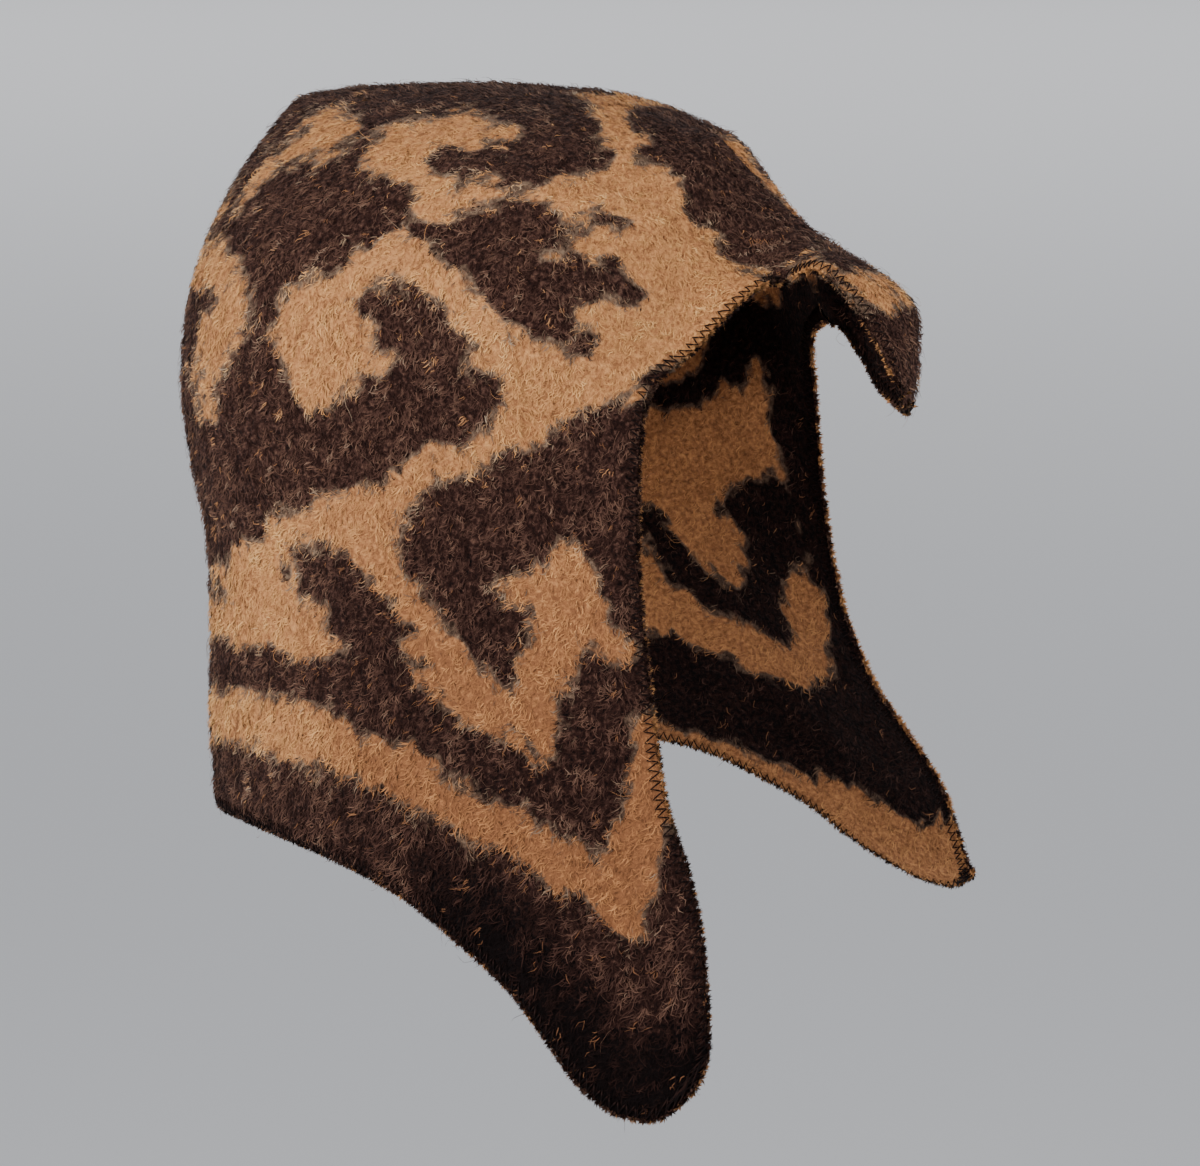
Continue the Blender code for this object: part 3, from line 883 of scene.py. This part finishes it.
# %% [markdown]
# ## The nap
# Brushing pulls the ends of the fibres out of both faces and lays them one way, here down the
# panel and a little back. A hair each would be millions. A lock of some twenty hairs is the
# smallest thing that shows, so each ribbon stands for a lock, about 0.3 mm wide and 2.3 mm long:
# one face and a pointed tip. Locks next to each other share the same noise, so they gather in
# tufts as felted wool does. The long stray fibres are ribbons too, of more faces.

# %% Places on the cloth
def scatter(count, seed, chance):
    """Random places: cells drawn in proportion to their area times a chance, and in each cell a
    place between its four corners. Returns corner numbers and the share of each corner."""
    rng = np.random.default_rng(seed)
    weight = np.linalg.norm(face_vectors(FORM), axis=1) * chance[QUADS].mean(1)
    cell = rng.choice(len(QUADS), count, p=weight / weight.sum())
    s, t = rng.random(count), rng.random(count)
    share = np.stack([(1 - s) * (1 - t), s * (1 - t), s * t, (1 - s) * t], -1)
    return QUADS[cell], share, rng


def mix(values, corners, share):
    """Values of the four corners of each cell, mixed by their shares."""
    return np.einsum("ij,ij...->i...", share, values[corners])


def unit(vectors):
    """Vectors made one long."""
    return vectors / np.maximum(np.linalg.norm(vectors, axis=-1, keepdims=True), 1e-9)


def turned(start, towards, angle):
    """Directions turned towards others by an angle: the cosine of it times the first, plus the sine
    of it times the second."""
    return start * np.cos(angle)[..., None] + towards * np.sin(angle)[..., None]


# %% Ribbons
def ribbons(paths, widths, rolls, out):
    """Ribbons along many paths at once. Across each path the width lies square to it, turned by
    the roll from level with the cloth towards its normal. Every ribbon ends in one point."""
    count, knots = paths.shape[:2]
    way = unit(np.gradient(paths, axis=1))
    level = unit(np.cross(out[:, None], way))
    raised = np.cross(way, level)
    half = turned(level, raised, rolls[:, None]) * widths[:, :, None] / 2
    pairs = np.stack([paths - half, paths + half], 2)[:, :-1].reshape(count, -1, 3)
    points = np.concatenate([pairs, paths[:, -1:]], 1)

    k = 2 * np.arange(knots - 2)
    quads = np.stack([k, k + 1, k + 3, k + 2], -1).ravel()
    last = 2 * (knots - 1)
    corners = np.concatenate([quads, [last - 2, last - 1, last]])
    sizes = np.array([4] * (knots - 2) + [3])
    first = np.arange(count) * points.shape[1]
    share = np.linspace(0, 1, knots)
    along_share = np.concatenate([np.repeat(share[:-1], 2), share[-1:]])
    return (points.reshape(-1, 3), (first[:, None] + corners).ravel(), np.tile(sizes, count),
            np.tile(along_share, count), points.shape[1])


def ribbon_piece(name, paths, widths, rolls, out, mark, tone):
    """One joined mesh of ribbons that carry their colour and the cloth's normal as values."""
    points, corners, sizes, along_share, each = ribbons(paths, widths, rolls, out)
    values = {"ornament": np.repeat(mark, each), "tone": np.repeat(np.clip(tone, 0, 1), each),
              "along": along_share, "cloth_normal": np.repeat(out, each, axis=0)}
    piece = make_piece(name, points, corners, sizes, values, NAP)
    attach(piece, "root")
    return piece


# %% Where a lock stands
LIE = np.array([0, 0.42, -0.91])  # down the panel and a little back


def footing(side, inside, corners, share):
    """Root, outward normal, the way the nap lies, the way square to both, and the ornament."""
    (outer, inner), (mark, mark_inside) = cloth[side]
    face, sign, shown = (inner, -1, mark_inside) if inside else (outer, 1, mark)
    out = unit(mix(corner_normals(face, side) * sign, corners, share))
    down = unit(LIE - (out @ LIE)[:, None] * out)
    return mix(face, corners, share), out, down, np.cross(out, down), mix(shown, corners, share)


def shade_at(stray, inside, corners, share):
    """The painted shade of a yarn at places on the cloth."""
    return shade(stray, mix(flap_shade_mask, corners, share), mix(hem_shade_mask, corners, share), inside)


# %% How the locks lie
LOCK_LENGTH, LONGER_BELOW, LENGTH_STRAY = 2.3, 0.8, 0.25
LOW_DOWN = (-140, -220)          # millimetres up, where the locks grow longer
LOCK_WIDTH, LOCK_TAPER, LOCK_UNEVEN = 0.29, np.array([1.0, 0.9, 0.0]), (0.65, 1.35)
TUFTS = [(1.1, 1.7, 0.30), (2.5, 3.9, 0.90)]     # width and length in millimetres, and share
SLANT = np.array([[1, 0.45], [-0.45, 1]])        # the tufts run down and back, as the nap does
TUFT_HEIGHT = 0.40
RISE, TUFT_RISE, RISE_STRAY = 25, 9, 7           # degrees off the cloth
SWIRL, SWIRL_SIZE = 1.2, 2.3
WIDE_SWIRL, WIDE_SWIRL_SIZE = 0.5, 13.0
STEADY_BELOW, TURN_STRAY = 0.2, 0.32
PRESSED = (0.5, 4.5)             # millimetres from the raw edge, where the stitches press the nap
PRESSED_LENGTH, PRESSED_RISE = 0.45, 0.5
LOCK_STEPS = ((0.0, 0.0), (1.0, 1.1))            # how far each is laid down, and how it wavers
LAID_FLAT, LEAN_STRAY = 0.95, 0.12

# %% How the locks are coloured
STRAND_MIX = 0.7                 # how far a lock's colour strays over the border
CLUMP_MIX, CLUMP_SIZE = 2.6, 1.9 # how far whole clumps stray
SPECKS, SPECK_SIZE, SPECK_SHARE = 0.76, 2.6, 0.8 # tan specks where a noise over the dark is high
SPECK_MARK, SPECK_TONE = 0.8, -0.25
MEAN_TONE, LOCK_TONE, TUFT_TONE = 0.46, 0.05, 0.50
PATCH_TONE, PATCH_SIZE = 0.14, 9.0
# The deep tan is the tan under the painted shade of the flap, and all of the tan inside
CALM_TAN, CALM_DARK = 0.4, 0.30  # how much more even the deep tan is, and all of the dark yarn
BRIGHT_SHARE, BRIGHT_TONE = 0.05, 0.10           # a few locks are paler than the rest
ROLL, UNEVEN = 0.5, (0.7, 1.3)   # radians that a ribbon is turned, and how its width strays


# %% Locks
def locks(name, side, inside, count, seed, chance):
    """Locks over one face of a panel. Each starts on the ground at about 25 degrees, bends over to
    the lie of the nap, and wavers to one side or the other. Neighbours swirl and rise together."""
    corners, share, rng = scatter(count, seed, chance)
    root, out, down, aside, mark = footing(side, inside, corners, share)
    place = mix(WEAVE, corners, share)
    slant = place @ SLANT
    tuft = sum(part * soft_noise(seed + 10 * k, slant / np.array([width, length]), 1.0)
               for k, (width, length, part) in enumerate(TUFTS, 1))
    swirl = (soft_noise(seed + 5, place, SWIRL_SIZE)
             + WIDE_SWIRL * soft_noise(seed + 6, place, WIDE_SWIRL_SIZE))
    spread = rng.normal(0, 1, (count, 5))
    free = ease(*PRESSED, mix(TO_EDGE, corners, share))
    low = ease(*LOW_DOWN, root[:, 2])
    length = (LOCK_LENGTH + LONGER_BELOW * low) * (1 + LENGTH_STRAY * spread[:, 0])
    length = length * (PRESSED_LENGTH + (1 - PRESSED_LENGTH) * free)
    turn = SWIRL * swirl * (1 - STEADY_BELOW * low) + TURN_STRAY * spread[:, 1]
    rise = np.radians(RISE + TUFT_RISE * tuft + RISE_STRAY * spread[:, 2])
    rise = rise * (PRESSED_RISE + (1 - PRESSED_RISE) * free)
    root = root + out * (TUFT_HEIGHT * tuft * free)[:, None]

    steps = []
    for laid, waver in LOCK_STEPS:
        heading = turn + waver * spread[:, 3]
        lean = rise * (1 - LAID_FLAT * laid) + LEAN_STRAY * spread[:, 4] * laid
        steps.append(turned(turned(down, aside, heading), out, lean) * (length / 2)[:, None])
    paths = np.stack([root, *steps], 1).cumsum(1)

    stray = mark + STRAND_MIX * rng.normal(0, 1, count) + CLUMP_MIX * soft_noise(seed + 9, slant, CLUMP_SIZE)
    speck = soft_noise(seed + 7, place, SPECK_SIZE)
    specked = (speck > SPECKS) & (stray < -1) & (rng.random(count) < SPECK_SHARE)
    stray = np.where(specked, SPECK_MARK, stray)
    # The tufts' noise lightens the locks of high tufts and darkens those of low ones: partly the wool's
    # uneven tone, partly painted shade in the hollows between tufts
    stir = (LOCK_TONE * rng.normal(0, 1, count) + TUFT_TONE * tuft
            + PATCH_TONE * soft_noise(seed + 8, place, PATCH_SIZE))
    tan = tan_share(stray)
    calm = CALM_DARK * (1 - tan) + CALM_TAN * tan * (1 if inside else mix(flap_shade_mask, corners, share))
    # The painted shade of the flap, the hem and the inside is taken off the tone
    tone = (MEAN_TONE + stir * (1 - calm) + BRIGHT_TONE * (rng.random(count) < BRIGHT_SHARE)
            + SPECK_TONE * specked - shade_at(stray, inside, corners, share))
    widths = LOCK_WIDTH * rng.uniform(*LOCK_UNEVEN, (count, 1)) * LOCK_TAPER
    return ribbon_piece(name, paths, widths, rng.normal(0, ROLL, count), out, stray, tone)


# %% The nap in six pieces
everywhere = np.ones(len(FORM))
to_back = (FORM[:, 0] < np.median(FORM[:, 0])).astype(float)
to_front = 1 - to_back
nap_right = [locks("nap_right_back", ON_RIGHT, inside=False, count=42000, seed=101, chance=to_back),
             locks("nap_right_front", ON_RIGHT, inside=False, count=42000, seed=102, chance=to_front),
             locks("nap_inside_right", ON_RIGHT, inside=True, count=28000, seed=105, chance=everywhere)]
nap_left = [locks("nap_left_back", ON_LEFT, inside=False, count=36000, seed=103, chance=to_back),
            locks("nap_left_front", ON_LEFT, inside=False, count=36000, seed=104, chance=to_front),
            locks("nap_inside_left", ON_LEFT, inside=True, count=28000, seed=106, chance=everywhere)]

# %% Stray hairs
HAIR_KNOTS = 6
HAIR_LENGTH = (4.0, 9.0)
HAIR_WIDTH, HAIR_TIP = 0.12, 0.4 # coarser than a real one, so that it shows
HAIR_LIFT, LOOSE = np.array([0.2, 0.9, 1.25, 1.3, 1.2, 1.1]), (0.6, 1.4)
HEADING, CURL, KINK = 0.8, 0.55, 0.35            # radians, at the root and then a step
HAIR_TONE_TAN, HAIR_TONE_DARK, HAIR_TONE_STRAY = 0.50, 0.60, 0.10


def stray_hairs(name, side, inside, count, seed):
    """Single long fibres that lie loosely on the nap. Each step of one turns by its own curl and a
    random kink, and it stands a millimetre or so off the ground."""
    corners, share, rng = scatter(count, seed, everywhere)
    root, out, down, aside, mark = footing(side, inside, corners, share)
    steps = np.arange(HAIR_KNOTS - 1)
    heading = (rng.normal(0, HEADING, (count, 1)) + rng.normal(0, CURL, (count, 1)) * steps
               + KINK * rng.normal(0, 1, (count, len(steps))).cumsum(1))
    length = rng.uniform(*HAIR_LENGTH, (count, 1, 1)) / len(steps)
    flat = turned(down[:, None], aside[:, None], heading)
    run = np.pad((flat * length).cumsum(1), ((0, 0), (1, 0), (0, 0)))
    lift = HAIR_LIFT * rng.uniform(*LOOSE, (count, 1))
    paths = root[:, None] + run + out[:, None] * lift[..., None]
    widths = HAIR_WIDTH * rng.uniform(*UNEVEN, (count, 1)) * np.linspace(1, HAIR_TIP, HAIR_KNOTS)
    tone = np.where(mark > 0, HAIR_TONE_TAN, HAIR_TONE_DARK) + HAIR_TONE_STRAY * rng.normal(0, 1, count)
    stray = mark + STRAND_MIX * rng.normal(0, 1, count)
    # The painted shade of the flap, the hem and the inside is taken off the tone
    tone = tone - shade_at(stray, inside, corners, share)
    return ribbon_piece(name, paths, widths, rng.normal(0, ROLL, count), out, stray, tone)


nap_right += [stray_hairs("hairs_right", ON_RIGHT, inside=False, count=3000, seed=111),
              stray_hairs("hairs_inside_right", ON_RIGHT, inside=True, count=500, seed=112)]
nap_left += [stray_hairs("hairs_left", ON_LEFT, inside=False, count=2400, seed=113),
             stray_hairs("hairs_inside_left", ON_LEFT, inside=True, count=500, seed=114)]

# %% [markdown]
# ## The raw edge
# The blanket is cut raw, and a dark zigzag stitch binds it on both faces. Between the points where
# the thread reaches the edge the cut yarns swell out in beads, tan ones and dark ones together,
# because the edge shows both layers of the cloth.

# %% Places along the free edge
EDGE_LENGTH = lengths(FORM[FREE_EDGE])


def at_length(values, distance):
    """Values given at the corners of the free edge, read at distances along it."""
    return np.stack([np.interp(distance, EDGE_LENGTH, column) for column in values.T], -1)


def inset(values, depth):
    """Values at the corners of the net, read at one depth in from the free edge: on each chain of
    corners that leads inward, between the two that the depth lies between."""
    depths = TO_EDGE[EDGE_CHAIN]
    low = np.clip((depths < depth).sum(0) - 1, 0, len(EDGE_CHAIN) - 2)
    edge = np.arange(len(FREE_EDGE))
    before, after = depths[low, edge], depths[low + 1, edge]
    t = np.clip((depth - before) / np.maximum(after - before, 1e-6), 0, 1)[:, None]
    return values[EDGE_CHAIN[low, edge]] * (1 - t) + values[EDGE_CHAIN[low + 1, edge]] * t


# %% Tufts of the raw edge
PITCH = 2.7                      # one whole zigzag, and one bead
BEAD_HEIGHT = (0.3, 1.4)         # at the side of a bead, and how much more in its middle
BEAD_UNEVEN = (0.75, 1.2)
BEAD_NARROW = 0.6                # how far a bead's locks are drawn together at their roots
ROOT_DEPTH = 0.5
INWARD, AHEAD = 4.0, 0.5         # where the ways inward and along the edge are read
TUFT_FAN, FAN_STRAY = 1.2, 0.25  # radians from the middle of the edge to either face
ALONG_STRAY = 0.3
TUFT_BENDS = (0.4, 1.2)          # how far each of a lock's two steps follows the fan
TIP_END, TIP_HEIGHT = 6.0, 0.2   # the beads shrink over this length towards the tip of the peak
BEAD_LEAN = (-0.5, 0.3)          # half less this of a bead has the outer face's colour
BEAD_MIX, BEAD_TONE, BEAD_TONE_STRAY, TUFT_TONE_STRAY = 0.6, 0.42, (-0.15, 0.2), 0.10
TUFT_WIDTH, TUFT_TAPER, TUFT_ROLL = 0.5, np.array([1.0, 0.95, 0.0]), 0.6


def edge_tufts(name, side, count, seed):
    """Locks squeezed out of the cut edge. Those of one bead stand close together and spread like a
    tuft along the edge and round from one face to the other, and the outer half or more of most
    beads has the outer face's colour."""
    rng = np.random.default_rng(seed)
    spot = rng.uniform(0, EDGE_LENGTH[-1], count)
    bead = np.round(spot / PITCH).astype(int)
    off = (spot / PITCH - bead) * 2
    distance = bead * PITCH + off * BEAD_NARROW * PITCH / 2
    outer, inner = cloth[side][0]
    edge = outer[FREE_EDGE]
    top, low = at_length(edge, distance), at_length(inner[FREE_EDGE], distance)
    middle = (inset(outer, INWARD) + inset(inner, INWARD)) / 2
    away = unit((top + low) / 2 - at_length(middle, distance))
    thick = unit(top - low)
    tangent = unit(at_length(edge, distance + AHEAD) - at_length(edge, distance - AHEAD))
    t = rng.random(count)
    root = top + (low - top) * t[:, None] - ROOT_DEPTH * away

    dome = np.sqrt(np.maximum(1 - off ** 2, 0))
    height = (BEAD_HEIGHT[0] + BEAD_HEIGHT[1] * dome) * rng.uniform(*BEAD_UNEVEN, count) + ROOT_DEPTH
    height = height * (TIP_HEIGHT + (1 - TIP_HEIGHT) * ease(0, TIP_END, EDGE_LENGTH[-1] - distance))
    fan = TUFT_FAN * (1 - 2 * t) + FAN_STRAY * rng.normal(0, 1, count)
    steps = []
    for bend in TUFT_BENDS:
        along_edge = bend * off + ALONG_STRAY * rng.normal(0, 1, count)
        way = turned(away, thick, bend * fan) + tangent * along_edge[:, None]
        steps.append(unit(way) * (height / 2)[:, None])
    paths = np.stack([root, *steps], 1).cumsum(1)
    out = unit(away + thick * np.sin(fan)[:, None])
    face_mark = at_length(cloth[side][1][0][FREE_EDGE][:, None], distance)[:, 0]
    leaning = rng.uniform(*BEAD_LEAN, bead.max() + 1)[bead]
    stray = np.where(t + leaning < 0.5, face_mark, -face_mark) + BEAD_MIX * rng.normal(0, 1, count)
    tone = BEAD_TONE + TUFT_TONE_STRAY * rng.normal(0, 1, count)
    tone = tone + rng.uniform(*BEAD_TONE_STRAY, bead.max() + 1)[bead]
    widths = TUFT_WIDTH * rng.uniform(*UNEVEN, (count, 1)) * TUFT_TAPER
    return ribbon_piece(name, paths, widths, rng.normal(0, TUFT_ROLL, count), out, stray, tone)


nap_right.append(edge_tufts("edge_tufts_right", ON_RIGHT, count=12000, seed=121))
nap_left.append(edge_tufts("edge_tufts_left", ON_LEFT, count=12000, seed=122))

# %% A tube of thread
THREAD_RADIUS = 0.22


def tube(points, out, radius):
    """A four-sided tube about a line, closed at both ends. Its sides face level with the cloth
    and square to it. Returns points and quads."""
    way = unit(np.gradient(points, axis=0))
    level = unit(np.cross(out, way))
    raised = np.cross(way, level)
    ring = np.stack([level, raised, -level, -raised], 1) * radius
    net = np.arange(4 * len(points)).reshape(-1, 4)
    beside = np.roll(net, -1, axis=1)
    sides = np.stack([net[:-1], beside[:-1], beside[1:], net[1:]], -1).reshape(-1, 4)
    return (points[:, None] + ring).reshape(-1, 3), np.vstack([sides, net[:1, ::-1], net[-1:]])


# %% Zigzag stitches
NEAR, FAR = 0.25, 3.4            # how deep in from the edge the needle goes
LEG_STEPS, LEG_STRAY = 3, 0.16
SUNK, RAISED = 0.50, 0.85        # above the ground, at the needle holes and between them


def zigzag(name, side, seed):
    """Thread on both faces, from the nape to the corner at the tip of the peak. Its depth in from
    the edge runs up and down in equal steps, and each leg is a little longer or shorter than the
    next."""
    outer, inner = cloth[side][0]
    rng = np.random.default_rng(seed)
    run = EDGE_LENGTH[-1 - NECK_ROWS]
    legs = round(run / (PITCH / 2))
    number = np.arange(legs * LEG_STEPS + 1)
    level = np.abs((number % (2 * LEG_STEPS)) - LEG_STEPS)
    ends = np.linspace(0, run, legs + 1) + np.pad(rng.normal(0, LEG_STRAY, legs - 1), 1)
    distance = np.interp(number / LEG_STEPS, np.arange(legs + 1), ends)
    lift = SUNK + (RAISED - SUNK) * np.sin(math.pi * level / LEG_STEPS)
    depths = np.linspace(NEAR, FAR, LEG_STEPS + 1)
    points, quads = [], []
    for face, sign in ((outer, 1), (inner, -1)):
        normals = corner_normals(face, side) * sign
        line, out = (np.stack([at_length(inset(values, depth), distance) for depth in depths])[level, number]
                     for values in (face, normals))
        out = unit(out)
        thread, sides = tube(line + out * lift[:, None], out, THREAD_RADIUS)
        quads.append(sides + sum(len(p) for p in points))
        points.append(thread)
    quads = np.vstack(quads)
    values = {"along": np.tile(np.repeat(distance, 4), 2)}
    piece = make_piece(name, np.vstack(points), quads.ravel(), np.full(len(quads), 4), values, THREAD)
    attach(piece, "root")
    print(name, "has", legs, "legs a face, along", round(run), "mm")
    return piece


nap_right.append(zigzag("overlock_right", ON_RIGHT, seed=131))
nap_left.append(zigzag("overlock_left", ON_LEFT, seed=132))

# %% [markdown]
# ## The flat cloth
# A panel is cut flat from the blanket, so its two faces keep nearly the area of the cut.


# %% [markdown]
# ## The studio
# The hat keeps its worn form and hangs free, with nothing under it. A floor of pale matt paper lies
# well below, and reaches so far back that it fills the picture behind the hat.

# %% Floor
FLOOR_UP, FLOOR_HALF = -0.8, 60.0                # metres
floor_material, _, floor_shader = new_material("matt_studio_paper")
floor_shader.inputs["Base Color"].default_value = linear("#F0F0F2")
floor_shader.inputs["Roughness"].default_value = 0.9
floor_corners = [(x * FLOOR_HALF, y * FLOOR_HALF, FLOOR_UP) for x, y in ((-1, -1), (1, -1), (1, 1), (-1, 1))]
floor_mesh = bpy.data.meshes.new("studio_floor")
floor_mesh.from_pydata(floor_corners, [], [(0, 1, 2, 3)])
floor_mesh.materials.append(floor_material)
studio_floor = bpy.data.objects.new("studio_floor", floor_mesh)
bpy.context.scene.collection.objects.link(studio_floor)
studio_floor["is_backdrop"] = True

# %% [markdown]
# ## Light
# A lamp as big as a window stands to the left, close enough for its light to fall off across the
# hat. A weaker one fills in from the right. A third, very large and far behind, lights the floor
# that the picture shows as its background.

# %% Sky
SKY_COLOUR, SKY_STRENGTH = "#DDE1E8", 0.38
world = bpy.data.worlds.new("studio")
bpy.context.scene.world = world
world.use_nodes = True
sky = world.node_tree.nodes["Background"]
sky.inputs["Color"].default_value = linear(SKY_COLOUR)
sky.inputs["Strength"].default_value = SKY_STRENGTH


# %% Lamps
def soft_light(name, place, aim, size, power):
    """A square white area light at a place in metres that looks at another."""
    data = bpy.data.lights.new(name, "AREA")
    data.shape, data.size, data.energy = "SQUARE", size, power
    lamp = bpy.data.objects.new(name, data)
    lamp.location = Vector(place)
    lamp.rotation_euler = Vector(np.subtract(aim, place)).to_track_quat("-Z", "Y").to_euler()
    bpy.context.scene.collection.objects.link(lamp)


LAMPS = [("window", (-0.82, 0.22, 0.88), 0.8, 15.9),     # metres right in the picture, up in it
         ("fill", (0.95, 0.45, 0.75), 1.0, 12.5)]        # and nearer; then size and watts
HAT = TARGET * MM
for name, (right, up, nearer), size, power in LAMPS:
    soft_light(name, HAT + right * RIGHT + up * ABOVE + nearer * BACK, HAT, size, power)

CEILING_AWAY, CEILING_UP, CEILING_SIZE, CEILING_POWER = 22.0, 6.0, 32.0, 2300.0
below_ceiling = CEILING_AWAY * np.array([math.cos(TURNED_FORWARD), math.sin(TURNED_FORWARD), 0])
soft_light("ceiling", below_ceiling + [0, 0, CEILING_UP], below_ceiling, CEILING_SIZE, CEILING_POWER)

# %% The finished box
visual_box = [list(corner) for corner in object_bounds()]
for title, box in (("solids", cad_box), ("dressed hat", visual_box)):
    print("box of the", title, "in mm", [[round(c * 1000, 1) for c in corner] for corner in box])
